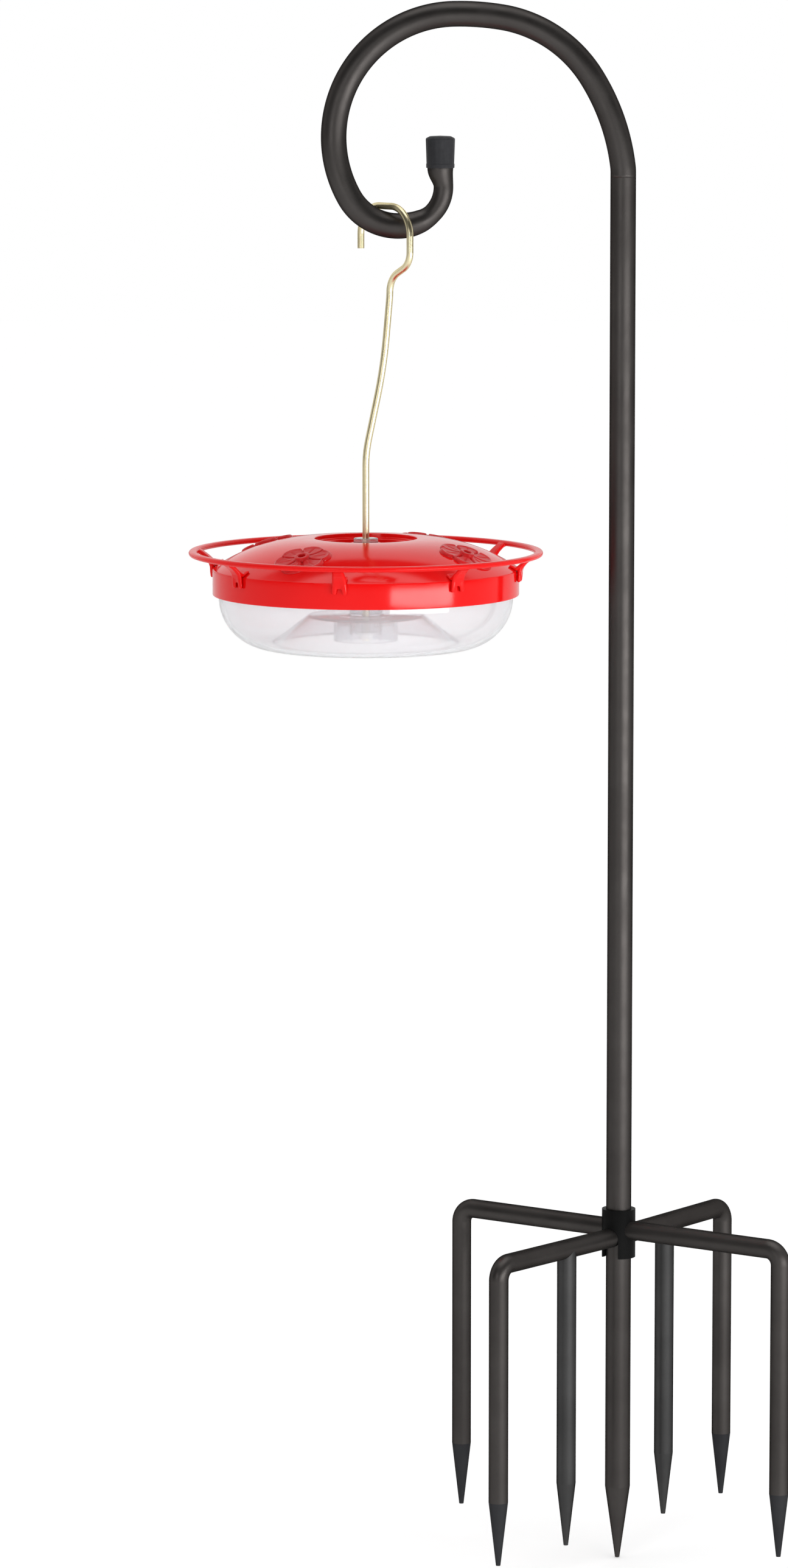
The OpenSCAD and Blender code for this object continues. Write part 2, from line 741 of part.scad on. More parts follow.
module feeder_basin() {
    color([0.80, 0.88, 0.92, 0.45]) translate([feeder_x, 0, feeder_z]) difference() {
        union() {
            rotate_extrude($fn = 120) basin_2d();
            for (k = [0 : rib_n - 1]) rotate([0, 0, 360 / rib_n * k])
                translate([0, -rib_t / 2, -rib_end_z])
                    cube([skirt_r - basin_wall / 2, rib_t,
                        rib_end_z - rise_top_z - basin_wall / 2]);
        }
        translate([0, 0, -basin_depth - past])
            cylinder(h = basin_depth + cover_h + 2 * past, r = rod_d / 2 + rod_gap);
    }
}

hook_tube();
hook_cap();
pole_tube();
base_spike();
spike_tip();
base_collar();
prong_front_left();
prong_front_right();
prong_back_left();
prong_back_right();
tip_front_left();
tip_front_right();
tip_back_left();
tip_back_right();
inner_prong_front();
inner_prong_back();
hanger_rod();
rod_washer();
rod_nut();
feeder_basin();
feeder_cover();
ant_moat();
perch_ring();
flower_1();
flower_2();
flower_3();
flower_4();
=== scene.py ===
# Looks of the bird feeder on its pole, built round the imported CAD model. Metres.
import json
import math

import bmesh
import bpy
import numpy as np
from mathutils import Matrix, Vector


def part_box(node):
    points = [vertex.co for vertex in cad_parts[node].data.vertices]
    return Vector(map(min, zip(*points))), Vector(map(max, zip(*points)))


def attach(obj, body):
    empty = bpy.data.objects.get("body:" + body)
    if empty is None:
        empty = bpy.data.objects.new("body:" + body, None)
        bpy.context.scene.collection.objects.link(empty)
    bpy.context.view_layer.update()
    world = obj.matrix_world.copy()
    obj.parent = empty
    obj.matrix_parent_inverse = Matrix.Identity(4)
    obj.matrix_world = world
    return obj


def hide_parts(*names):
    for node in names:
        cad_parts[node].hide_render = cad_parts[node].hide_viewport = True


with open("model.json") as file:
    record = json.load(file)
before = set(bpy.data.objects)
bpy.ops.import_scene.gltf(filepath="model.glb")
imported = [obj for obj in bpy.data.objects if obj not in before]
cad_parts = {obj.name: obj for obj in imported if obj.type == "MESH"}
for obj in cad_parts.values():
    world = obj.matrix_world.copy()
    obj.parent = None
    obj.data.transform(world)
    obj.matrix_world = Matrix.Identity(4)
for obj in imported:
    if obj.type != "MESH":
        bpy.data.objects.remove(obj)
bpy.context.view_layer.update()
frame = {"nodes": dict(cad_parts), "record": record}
NODES = frame["nodes"]
MM = 0.001

# ---------------------------------------------------------------- places
# The feeder's axis at the cover's lower edge, the top of the pole and the lowest point of the stake.
cover_lo, cover_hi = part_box("feeder_cover")
FEEDER = Vector(((cover_lo.x + cover_hi.x) / 2, (cover_lo.y + cover_hi.y) / 2, cover_lo.z))
JOINT_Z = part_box("pole_tube")[1].z
TIP_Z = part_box("spike_tip")[0].z

# ---------------------------------------------------------------- materials
# A noise is (scale in cycles per metre, detail). A grain is a noise with (depth, strength) of its bump.
NOISE_ROUGHNESS = 0.55
ORANGE_PEEL = (650.0, 2.0, 0.08 * MM, 0.35)
GRIT = (2400.0, 2.0, 0.03 * MM, 0.3)
RUBBER_GRAIN = (1500.0, 3.0, 0.04 * MM, 0.4)
WIRE_GRAIN = (220.0, 2.0, 0.01 * MM, 0.08)
NYLON_GRAIN = (1500.0, 2.0, 0.01 * MM, 0.3)
PLASTIC_GRAIN = (1200.0, 2.0, 0.01 * MM, 0.2)
CLEAR_WAVE = (35.0, 2.0, 0.2 * MM, 0.1)
# How much of a lamp's light goes through the clear plastic.
LAMP_THROUGH = 0.92


def grey(level):
    return (level, level, level)


def material(name, **sockets):
    """A node material and its shader. Sockets are named with _ for a space."""
    mat = bpy.data.materials.new(name)
    mat.use_nodes = True
    shader = mat.node_tree.nodes["Principled BSDF"]
    for key, value in sockets.items():
        shader.inputs[key.replace("_", " ")].default_value = value
    return mat, shader


def add(mat, kind, **settings):
    """A node in mat. Settings that name an input set its value, others set the node."""
    node = mat.node_tree.nodes.new(kind)
    for key, value in settings.items():
        label = key.replace("_", " ")
        if label in node.inputs:
            node.inputs[label].default_value = value
        else:
            setattr(node, key, value)
    return node


def link(mat, a, out, b, into):
    mat.node_tree.links.new(a.outputs[out], b.inputs[into])


def noise(mat, scale, detail):
    """A noise in the object's own coordinates."""
    node = add(mat, "ShaderNodeTexNoise", Scale=scale, Detail=detail, Roughness=NOISE_ROUGHNESS)
    link(mat, add(mat, "ShaderNodeTexCoord"), "Object", node, "Vector")
    return node


def clouded(name, tones, cloud, rough, smear, grains, tone_edge=0.35, rough_edge=0.3, **sockets):
    """A material whose base colour, roughness and bump each follow noises.

    tones and rough are (low, high). The colour changes from tone_edge to 1 - tone_edge of the
    noise cloud, and the roughness from rough_edge to 1 - rough_edge of the noise smear.
    """
    mat, shader = material(name, **sockets)
    tone = add(mat, "ShaderNodeValToRGB")
    for stop, at, colour in zip(tone.color_ramp.elements, (tone_edge, 1 - tone_edge), tones):
        stop.position = at
        stop.color = (*colour, 1.0)
    link(mat, noise(mat, *cloud), "Fac", tone, "Fac")
    link(mat, tone, "Color", shader, "Base Color")
    roughness = add(mat, "ShaderNodeMapRange", From_Min=rough_edge, From_Max=1 - rough_edge,
                    To_Min=rough[0], To_Max=rough[1])
    link(mat, noise(mat, *smear), "Fac", roughness, "Value")
    link(mat, roughness, "Result", shader, "Roughness")
    last = None
    for scale, detail, depth, strength in grains:
        grain = add(mat, "ShaderNodeBump", Strength=strength, Distance=depth)
        link(mat, noise(mat, scale, detail), "Fac", grain, "Height")
        if last is not None:
            link(mat, last, "Normal", grain, "Normal")
        last = grain
    link(mat, last, "Normal", shader, "Normal")
    return mat


def powder_coat(name, dark, pale, rough, metal, edge):
    """Satin powder coat: slight tone patches, orange-peel skin and fine grit.

    metal is how metallic it is, and edge how much light it adds at a glancing angle.
    """
    return clouded(name, (dark, pale), (28.0, 4.0), (rough - 0.04, rough + 0.05), (60.0, 3.0),
                   [ORANGE_PEEL, GRIT], tone_edge=0.36, rough_edge=0.35,
                   Metallic=metal, Specular_IOR_Level=0.05, Specular_Tint=(*grey(edge), 1.0))


def red_plastic(name, dark, pale, rough, gloss, wave):
    """Moulded red plastic: slow waviness of the skin, faint smears and fine texture."""
    return clouded(name, (dark, pale), (14.0, 3.0), (rough, rough + 0.06), (120.0, 4.0),
                   [(45.0, 2.0, 0.1 * MM, wave), PLASTIC_GRAIN], IOR=1.5, Specular_IOR_Level=gloss)


def clear_plastic():
    """Clear plastic that greys where it is looked through along the wall."""
    mat = clouded("clear_plastic", ((0.93, 0.935, 0.95), (0.945, 0.95, 0.96)), (18.0, 3.0),
                  (0.04, 0.09), (90.0, 4.0), [CLEAR_WAVE], tone_edge=0.3,
                  IOR=1.28, Transmission_Weight=0.86)
    nodes = mat.node_tree.nodes
    body = add(mat, "ShaderNodeVolumeAbsorption", Density=26.0, Color=(0.35, 0.40, 0.46, 1.0))
    link(mat, body, "Volume", nodes["Material Output"], "Volume")
    # Lamps shine through the plastic, so the post and the nut inside are lit.
    lamp_path = add(mat, "ShaderNodeLightPath")
    lets_through = add(mat, "ShaderNodeMath", operation="MULTIPLY_ADD")
    lets_through.inputs[1].default_value = -LAMP_THROUGH
    lets_through.inputs[2].default_value = 1.0
    link(mat, lamp_path, "Is Shadow Ray", lets_through, 0)
    link(mat, lets_through, "Value", nodes["Principled BSDF"], "Alpha")
    return mat


ROD_COAT = powder_coat("rod_coat", (0.062, 0.0570, 0.0545), (0.074, 0.0685, 0.0655),
                       rough=0.44, metal=0.92, edge=0.0)
INNER_COAT = powder_coat("inner_coat", grey(0.061), grey(0.072), rough=0.44, metal=0.92, edge=0.0)
TIP_COAT = powder_coat("tip_coat", (0.034, 0.034, 0.037), (0.043, 0.044, 0.047),
                       rough=0.46, metal=0.6, edge=0.0)
COLLAR_COAT = powder_coat("collar_coat", grey(0.006), grey(0.010), rough=0.42, metal=0.2, edge=0.3)
CAP_RUBBER = clouded("cap_rubber", ((0.013, 0.0135, 0.016), (0.019, 0.0195, 0.023)), (90.0, 4.0),
                     (0.55, 0.72), (300.0, 3.0), [RUBBER_GRAIN], Specular_IOR_Level=0.35)
BRASS = clouded("pale_brass", ((0.76, 0.67, 0.42), (0.81, 0.73, 0.49)), (30.0, 3.0),
                (0.26, 0.33), (120.0, 3.0), [WIRE_GRAIN],
                Metallic=1.0, Specular_Tint=(0.75, 0.66, 0.42, 1.0))
NYLON = clouded("nylon", ((0.78, 0.77, 0.74), (0.84, 0.83, 0.80)), (200.0, 3.0),
                (0.35, 0.5), (500.0, 3.0), [NYLON_GRAIN], Specular_IOR_Level=0.4,
                Subsurface_Weight=0.3, Subsurface_Radius=grey(2 * MM), Subsurface_Scale=1.0)
RED_TONES = ((0.72, 0.003, 0.003), (0.77, 0.005, 0.005))
RED = red_plastic("red_plastic", *RED_TONES, rough=0.09, gloss=0.23, wave=0.1)
RING_RED = red_plastic("ring_red", *RED_TONES, rough=0.2, gloss=0.2, wave=0.1)
# Painted shade: the petals are the same red plastic as the cover, given a darker red so they look less lit
# than the dome.
PETAL_PAINTED_SHADE_RED = red_plastic("petal_red_painted_shade", (0.52, 0.005, 0.007), (0.58, 0.009, 0.011),
                        rough=0.28, gloss=0.25, wave=0.2)
CLEAR = clear_plastic()

BY_SLOT = {"powder_coat": ROD_COAT, "tip_steel": TIP_COAT, "collar_black": COLLAR_COAT,
           "cap_rubber": CAP_RUBBER, "brass_rod": BRASS, "nylon": NYLON,
           "red_plastic": RED, "clear_plastic": CLEAR}
SLOT_OF = {s["node"]: s["material_slot"] for s in frame["record"]["subparts"]}
for name, node in NODES.items():
    mat = INNER_COAT if name.startswith("inner_prong") else BY_SLOT[SLOT_OF[name]]
    node.data.materials.clear()
    node.data.materials.append(mat)


# ---------------------------------------------------------------- mesh tools
def mesh_object(name, verts, faces):
    mesh = bpy.data.meshes.new(name)
    mesh.from_pydata([tuple(v) for v in verts], [], faces)
    return bpy.data.objects.new(name, mesh)


def show(obj):
    bpy.context.scene.collection.objects.link(obj)


def face_outward(mesh):
    """Turns the normal of every face outward."""
    turned = bmesh.new()
    turned.from_mesh(mesh)
    bmesh.ops.recalc_face_normals(turned, faces=turned.faces)
    turned.to_mesh(mesh)
    turned.free()


def applied(obj):
    """A new mesh: obj with its modifiers applied."""
    seen = obj.evaluated_get(bpy.context.evaluated_depsgraph_get())
    return bpy.data.meshes.new_from_object(seen)


def dress(obj, mat, body, slot, *nodes):
    """Gives an object its finish, the body it rides on and the CAD nodes it stands for; slot is not used.
    """
    face_outward(obj.data)
    obj.data.materials.clear()
    obj.data.materials.append(mat)
    obj.data.shade_smooth()
    show(obj)
    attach(obj, body)
    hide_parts(*nodes)


def piece(name, verts, faces, mat, body, slot, *nodes):
    """A smooth mesh that rides on a body and stands for CAD nodes."""
    obj = mesh_object(name, verts, faces)
    obj.data.validate()
    dress(obj, mat, body, slot, *nodes)


def rounded(corners, steps=6):
    """A closed outline with each corner (x, y, radius) rounded by an arc of so many steps."""
    out = []
    count = len(corners)
    for i, (x, y, radius) in enumerate(corners):
        here = np.array((x, y), float)
        if radius <= 0:
            out.append(here)
            continue
        back = np.array(corners[i - 1][:2], float) - here
        on = np.array(corners[(i + 1) % count][:2], float) - here
        a, b = back / np.linalg.norm(back), on / np.linalg.norm(on)
        half = math.acos(max(-1.0, min(1.0, float(a @ b)))) / 2
        reach = radius / math.tan(half)
        centre = here + (a + b) / np.linalg.norm(a + b) * radius / math.sin(half)
        p, q = here + a * reach - centre, here + b * reach - centre
        turn = math.atan2(p[0] * q[1] - p[1] * q[0], float(p @ q))
        for k in range(steps + 1):
            c, s = math.cos(turn * k / steps), math.sin(turn * k / steps)
            out.append(centre + np.array((p[0] * c - p[1] * s, p[0] * s + p[1] * c)))
    return [tuple(p) for p in out]


def around(count):
    """Angles in equal steps round a full turn."""
    return np.arange(count) * 2 * math.pi / count


def grid_faces(rows, columns, wrap_rows):
    """Quads of a grid of rows by columns whose columns close on themselves."""
    last = rows if wrap_rows else rows - 1
    return [(i * columns + j, i * columns + (j + 1) % columns,
             (i + 1) % rows * columns + (j + 1) % columns, (i + 1) % rows * columns + j)
            for i in range(last) for j in range(columns)]


def revolve(profile, centre, steps, flute=None):
    """Points and faces of a profile of (r, z) in mm turned about the vertical through centre.

    flute(r, z, t), if given, is how far in mm a point at angle t is drawn in.
    """
    verts = []
    for r, z in profile:
        for t in around(steps):
            out = r - flute(r, z, t) if flute else r
            verts.append(centre + Vector((out * math.cos(t), out * math.sin(t), z)) * MM)
    return verts, grid_faces(len(profile), steps, True)


def loft(path, sections):
    """A capped tube along path, with a ring of (across, up) offsets for each of its points."""
    path = [Vector(p) for p in path]
    count, sides = len(path), len(sections[0])
    verts = []
    for i, (p, section) in enumerate(zip(path, sections)):
        along = (path[min(i + 1, count - 1)] - path[max(i - 1, 0)]).normalized()
        across = (Vector((0, 1, 0)) - along * along.y).normalized()
        up = along.cross(across)
        verts += [p + across * a + up * b for a, b in section]
    faces = grid_faces(count, sides, False)
    faces.append(tuple(range(sides - 1, -1, -1)))
    faces.append(tuple((count - 1) * sides + k for k in range(sides)))
    return verts, faces


def ease(t):
    """0 below 0, 1 above 1, smooth between."""
    t = max(0.0, min(1.0, t))
    return t * t * (3 - 2 * t)


# ---------------------------------------------------------------- hook
# The bending table of the hook: bend radius in mm, bend angle in degrees.
HOOK_BENDS = ((28, 7), (126, 25.3), (76.6, 48.4), (151, 10.8), (71.7, 117.5), (32.8, 86.3),
              (21.8, 64.7))
TUBE_D, NOSE_D, FLARE_D = 15.0, 11.5, 15.2
# The tube is drawn down to its nose between these headings, in degrees.
TAPER_START, TAPER_END = 273.0, 318.3
SHOULDER, FLARE_LEN, CAPPED_LEN = 3.0, 11.0, 14.0
BEND_STEP, LEAST_STEPS, FLARE_STEPS, HOOK_SIDES = 1.25, 4, 12, 64


def along_bend(x, z, heading, radius, turned):
    """Where a bend has got to after turning by turned degrees from heading."""
    a0, a = math.radians(heading), math.radians(heading + turned)
    return x + radius * (math.cos(a0) - math.cos(a)), z + radius * (math.sin(a) - math.sin(a0))


def hook():
    """The bent tube, drawn down to its nose and flared again under the cap."""
    path, widths = [(0.0, 0.0), (0.0, SHOULDER / 2)], [TUBE_D, TUBE_D]
    x, z, heading = 0.0, SHOULDER, 0.0
    for radius, bend in HOOK_BENDS:
        steps = max(LEAST_STEPS, int(bend / BEND_STEP))
        for k in range(steps):
            turned = bend * k / steps
            path.append(along_bend(x, z, heading, radius, turned))
            drawn = ease((heading + turned - TAPER_START) / (TAPER_END - TAPER_START))
            widths.append(TUBE_D - (TUBE_D - NOSE_D) * drawn)
        x, z = along_bend(x, z, heading, radius, bend)
        heading += bend
    for k in range(FLARE_STEPS + 1):
        t = k / FLARE_STEPS
        wide = NOSE_D + (FLARE_D - NOSE_D) * ease(t)
        path.append((x + (wide - NOSE_D) / 2, z + t * FLARE_LEN))
        widths.append(wide)
    path.append((x + (FLARE_D - NOSE_D) / 2, z + FLARE_LEN + CAPPED_LEN))
    widths.append(FLARE_D)
    points = [(-px * MM, 0.0, JOINT_Z + pz * MM) for px, pz in path]
    sections = [[(wide / 2 * MM * math.cos(t), wide / 2 * MM * math.sin(t)) for t in around(HOOK_SIDES)]
                for wide in widths]
    piece("hook_rod", *loft(points, sections), ROD_COAT, "pole", "powder_coat", "hook_tube")


hook()

# ---------------------------------------------------------------- cap
# Sizes in mm. The lip is the rolled mouth, and AXIS a radius just off the cap's axis.
CAP_SWELL, CAP_PLAY, CAP_ROOF, LIP_TOP, AXIS = 0.4, 0.05, 2.4, 2.2, 0.01
FLUTES, FLUTE_DEPTH, CAP_STEPS = 18, 0.10, 144
# The flutes start and end this far from the lip and from the top.
FLUTE_FOOT, FLUTE_HEAD = 0.2, 0.9


def cap():
    """The rubber cap: swelling to its top, faintly fluted, with a rolled mouth."""
    lo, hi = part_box("hook_cap")
    centre = Vector(((lo.x + hi.x) / 2, 0, lo.z))
    top = (hi.z - lo.z) / MM
    wide = (hi.x - lo.x) / 2 / MM
    mouth = wide - CAP_SWELL
    bore = FLARE_D / 2 - CAP_PLAY

    def flute(r, z, t):
        on_wall = r > mouth - 0.5 and LIP_TOP + FLUTE_FOOT < z < top - FLUTE_HEAD
        return FLUTE_DEPTH * (0.5 + 0.5 * math.cos(FLUTES * t)) if on_wall else 0.0

    profile = rounded([
        (bore, 0.0, 0.3), (mouth, 0.0, 0.35), (mouth + 0.03, LIP_TOP, 0.2),
        (mouth - 0.1, LIP_TOP + 0.5, 0.2), (wide, top - 1.6, 1.1), (wide * 0.72, top - 0.35, 2.0),
        (AXIS, top, 0.0), (AXIS, top - CAP_ROOF, 0.0), (bore, top - CAP_ROOF, 0.2)])
    piece("end_cap", *revolve(profile, centre, CAP_STEPS, flute), CAP_RUBBER, "pole", "cap_rubber",
          "hook_cap")


cap()

# ---------------------------------------------------------------- feeder cover
# Sizes in mm from the feeder's axis and from the band's lower edge.
BAND, BAND_H, COVER_H, WALL = 90.4, 15.1, 33.3, 2.0
RIM_R, RIM_W, MOAT_R, MOAT_Z, STEP_Z = 31.7, 1.5, 26.0, 9.4, 30.5
SLEEVE_R, SLEEVE_IR = 9.5, 7.5
LEDGE_R, LEDGE_Z = 84.4, 12.8
DOME_R = ((BAND - RIM_R) ** 2 + (COVER_H - BAND_H) ** 2) / (2 * (COVER_H - BAND_H))
COVER_STEPS = 288


def dome_z(r, inset=0.0):
    """Height of the dome at radius r, or of a skin that lies inset below it."""
    return COVER_H - DOME_R + math.sqrt((DOME_R - inset) ** 2 - (r - RIM_R) ** 2)


def cover():
    """Band, dome and ant moat as one moulding with softened edges."""
    outer = [(r, dome_z(r), 0.0) for r in np.linspace(BAND - 1.2, RIM_R + 1.0, 40)]
    inner = [(r, dome_z(r, WALL), 0.0) for r in np.linspace(MOAT_R + WALL + 4.0, LEDGE_R - 0.4, 30)]
    band = [(BAND - WALL, 0.0, 0.3), (BAND, 0.0, 0.6), (BAND, BAND_H, 1.0)]
    rim = [(RIM_R, COVER_H, 0.6), (RIM_R - RIM_W, COVER_H, 0.5), (RIM_R - RIM_W, STEP_Z, 0.6)]
    moat = [(MOAT_R, STEP_Z, 0.9), (MOAT_R, MOAT_Z, 2.2), (SLEEVE_R, MOAT_Z, 1.2),
            (SLEEVE_R, STEP_Z, 0.6), (SLEEVE_IR, STEP_Z, 0.4), (SLEEVE_IR, MOAT_Z - WALL, 0.3),
            (MOAT_R + WALL, MOAT_Z - WALL, 2.5), (MOAT_R + WALL, dome_z(RIM_R + 2, WALL), 0.5)]
    ledge = [(LEDGE_R, LEDGE_Z, 0.5), (BAND - WALL, LEDGE_Z, 0.3)]
    profile = rounded(band + outer + rim + moat + inner + ledge)
    piece("cover_shell", *revolve(profile, FEEDER, COVER_STEPS), RED, "cover", "red_plastic",
          "feeder_cover", "ant_moat")


cover()

# ---------------------------------------------------------------- flowers
# Sizes in mm. A flower's own axis stands square to the dome, FLOWER_R from the feeder's.
FLOWER_R, PETALS, PORT_R = 69.1, 6, 2.2
FLOWER_TURNS = (58.1, 148.1, 238.1, 328.1)
EYE_R, EYE_H = 4.5, 2.6
NOTCH_R, LOBE = 14.0, 3.1
# A petal's height over the dome, what its foot, rim, vein and edge grooves add or take, and its round edge.
PUFF_H, FOOT_H, RIM_H, VEIN_H, GROOVE_H, EDGE_R = 1.25, 0.45, 0.6, 0.45, 1.3, 0.8
TUBE_OUT_R, TUBE_END = 3.6, -7.0
PETAL_UNDER, FLOWER_STEPS, SKIN_STEPS = -0.9, 240, 6


def petal_edge(t):
    """Outline of the flower: six round lobes with notches between them."""
    return NOTCH_R + LOBE * abs(math.cos(PETALS * t / 2)) ** 0.6


def hump(distance, width):
    """1 at no distance, falling off smoothly over about the width."""
    return math.exp(-(distance / width) ** 2)


def petal_height(rho, t):
    """Height of the petals over the dome: puffed lobes with a rim, a vein and grooves between."""
    edge = petal_edge(t)
    part = (t * PETALS / (2 * math.pi) + 0.5) % 1.0 - 0.5
    across = abs(part) * 2 * math.pi / PETALS * rho
    gap = (0.5 - abs(part)) * 2 * math.pi / PETALS * rho
    s = (rho - EYE_R) / (edge - EYE_R)
    puff = PUFF_H - FOOT_H * hump(s - 0.35, 0.3)
    rim = RIM_H * hump(edge - 1.4 - rho, 0.9)
    vein = VEIN_H * hump(across, 0.5) * ease(s * 3) * ease((0.8 - s) * 6)
    groove = GROOVE_H * hump(gap, 0.6)
    round_off = 1 - max(0.0, 1 - (edge - rho) / EDGE_R) ** 2
    return max(0.0, (puff + rim - vein - groove) * math.sqrt(max(0.0, round_off)))


# The rings of a flower from inside its tube, over the eye and the petals, and back under the cover.
# An axial ring is (radius, height); a petal or skirt ring is a share of the way from eye to edge.
FLOWER_RINGS = (
    [("axial", PORT_R, TUBE_END), ("axial", PORT_R, -3.0), ("axial", PORT_R, EYE_H - 0.5),
     ("axial", PORT_R + 0.15, EYE_H - 0.15), ("axial", PORT_R + 0.5, EYE_H),
     ("axial", EYE_R - 0.9, EYE_H), ("axial", EYE_R - 0.35, EYE_H - 0.15),
     ("axial", EYE_R - 0.05, EYE_H - 0.6)]
    + [("petal", share, 0.0) for share in np.linspace(0.0, 0.9, 30)]
    + [("petal", share, 0.0) for share in (0.92, 0.94, 0.96, 0.975, 0.987, 0.995, 1.0)]
    + [("skirt", 1.0, -0.2), ("skirt", 0.97, PETAL_UNDER), ("skirt", 0.4, PETAL_UNDER),
       ("axial", TUBE_OUT_R, -1.6), ("axial", TUBE_OUT_R, TUBE_END + 0.3),
       ("axial", TUBE_OUT_R - 0.3, TUBE_END)])


def flower(index, turn):
    """One port: petals on the dome, the eye with its hole, and the tube under the cover."""
    a = math.radians(turn - 90)
    out = Vector((math.cos(a), math.sin(a), 0))
    slope = math.asin((FLOWER_R - RIM_R) / DOME_R)
    normal = out * math.sin(slope) + Vector((0, 0, math.cos(slope)))
    down = out * math.cos(slope) - Vector((0, 0, math.sin(slope)))
    level = Vector((-out.y, out.x, 0))
    origin = out * FLOWER_R + Vector((0, 0, dome_z(FLOWER_R)))

    def skin(u, v):
        """Height of the dome along the flower's own axis, found by stepping toward the dome."""
        w = 0.0
        for _ in range(SKIN_STEPS):
            p = origin + down * u + level * v + normal * w
            r = math.hypot(p.x, p.y)
            w -= math.hypot(r - RIM_R, p.z - (COVER_H - DOME_R)) - DOME_R
        return w

    verts = []
    for kind, value, height in FLOWER_RINGS:
        for t in around(FLOWER_STEPS):
            if kind == "axial":
                rho, w = value, height
            else:
                rho = EYE_R + value * (petal_edge(t) - EYE_R)
                ground = skin(rho * math.cos(t), rho * math.sin(t))
                w = ground + (petal_height(rho, t) if kind == "petal" else height)
            p = origin + down * (rho * math.cos(t)) + level * (rho * math.sin(t)) + normal * w
            verts.append(FEEDER + p * MM)
    faces = grid_faces(len(FLOWER_RINGS), FLOWER_STEPS, True)
    piece(f"flower_port_{index}", verts, faces, PETAL_PAINTED_SHADE_RED, "cover", "red_plastic", f"flower_{index}")


for number, turn in enumerate(FLOWER_TURNS, 1):
    flower(number, turn)

# ---------------------------------------------------------------- perch ring
# Sizes in mm from the feeder's axis and from the band's lower edge.
PERCH_R, PERCH_Z, PERCH_W, PERCH_T = 101.9, 24.6, 5.0, 3.2
SPOKES, SPOKE_TURN = 8, -9.4
PERCH_STEPS, HALF_STEPS = 360, 13
STRAP_BEVEL = 0.7
FINE_VOXEL, QUICK_VOXEL = 0.42 * MM, 0.8 * MM
# The straps of one spoke that lies along X, as rows of (r, side, z, width, thickness): the arm that
# reaches from the ring over the dome's edge, the leg down the band, and the two toes of its fork.
SPOKE_STRAPS = [
    [(101.6, 0, 24.6, 6.6, 2.8), (98.6, 0, 23.4, 6.6, 2.6), (95.4, 0, 21.0, 7.2, 2.6),
     (92.6, 0, 18.3, 8.2, 2.8), (89.6, 0, dome_z(89.6) + 1.0, 8.6, 2.0),
     (86.0, 0, dome_z(86.0) + 0.8, 8.2, 1.5)],
    [(94.8, 0, 20.6, 7.2, 2.6), (92.6, 0, 17.6, 8.0, 2.6), (91.7, 0, 14.6, 8.8, 2.3),
     (91.6, 0, 12.4, 8.6, 1.9)],
    *([(91.9, way * 2.6, 14.6, 3.4, 2.3), (91.75, way * 2.85, 12.2, 3.3, 2.2),
       (91.6, way * 3.1, 10.0, 3.0, 1.9), (91.4, way * 3.2, 8.9, 2.4, 1.4)] for way in (-1, 1))]


def strap_section(width, thick):
    """A flat ring with bevelled corners, width across and thick up."""
    w, t = width / 2, thick / 2
    near = [(w - STRAP_BEVEL * t, -t), (w, -t * (1 - STRAP_BEVEL)),
            (w, t * (1 - STRAP_BEVEL)), (w - STRAP_BEVEL * t, t)]
    return near + [(-a, -b) for a, b in near]


def perch():
    """Ring and forked spokes, fused and softened as one moulding."""
    flat = (PERCH_W - PERCH_T) / 2
    # Two half rounds with a flat top and underside between them.
    section = [(PERCH_R + way * flat + PERCH_T / 2 * math.cos(t), PERCH_Z + PERCH_T / 2 * math.sin(t))
               for way in (1, -1)
               for t in np.linspace(-way * math.pi / 2, math.pi - way * math.pi / 2, HALF_STEPS)]
    verts, faces = revolve(section, FEEDER, PERCH_STEPS)
    for k in range(SPOKES):
        spin = Matrix.Rotation(math.radians(SPOKE_TURN - 90 + 360 / SPOKES * k), 3, "Z")
        for rows in SPOKE_STRAPS:
            path, sections = [row[:3] for row in rows], [strap_section(*row[3:]) for row in rows]
            strap_verts, strap_faces = loft(path, sections)
            faces += [tuple(len(verts) + corner for corner in face) for face in strap_faces]
            verts += [FEEDER + spin @ p * MM for p in strap_verts]
    raw = mesh_object("perch_raw", verts, faces)
    show(raw)
    fuse = raw.modifiers.new("fuse", "REMESH")
    fuse.mode = "VOXEL"
    fuse.voxel_size = FINE_VOXEL
    soften = raw.modifiers.new("soften", "SMOOTH")
    soften.factor = 0.5
    soften.iterations = 4
    ring = bpy.data.objects.new("perch", applied(raw))
    bpy.data.objects.remove(raw)
    dress(ring, RING_RED, "cover", "red_plastic", "perch_ring")


perch()

# ---------------------------------------------------------------- basin
# Sizes in mm from the feeder's axis and from the band's lower edge.
BASIN_R, BASIN_Z, BOWL_R, BASIN_WALL, LIP_H = 86.8, -31.4, 30.0, 2.2, 12.5
RISE_FOOT, RISE_TOP, RISE_Z = 55.0, 34.0, -12.0
POST_R, POST_LOW_R, POST_LOW_TOP, POST_END = 7.2, 9.7, 7.1, -23.0
SKIRT_R, BORE_R = 19.0, 2.05
RIBS, RIB_W, RIB_END, RIB_BITE = 6, 1.6, -19.0, 1.0
BOWL_STEPS, BASIN_STEPS = 28, 240


def bowl(radius, start, end):
    """The quarter round of the bowl's corner at this radius, as unrounded corners."""
    return [(BASIN_R - BOWL_R + radius * math.cos(t), BASIN_Z + BOWL_R + radius * math.sin(t), 0.0)
            for t in np.linspace(math.radians(start), math.radians(end), BOWL_STEPS)]


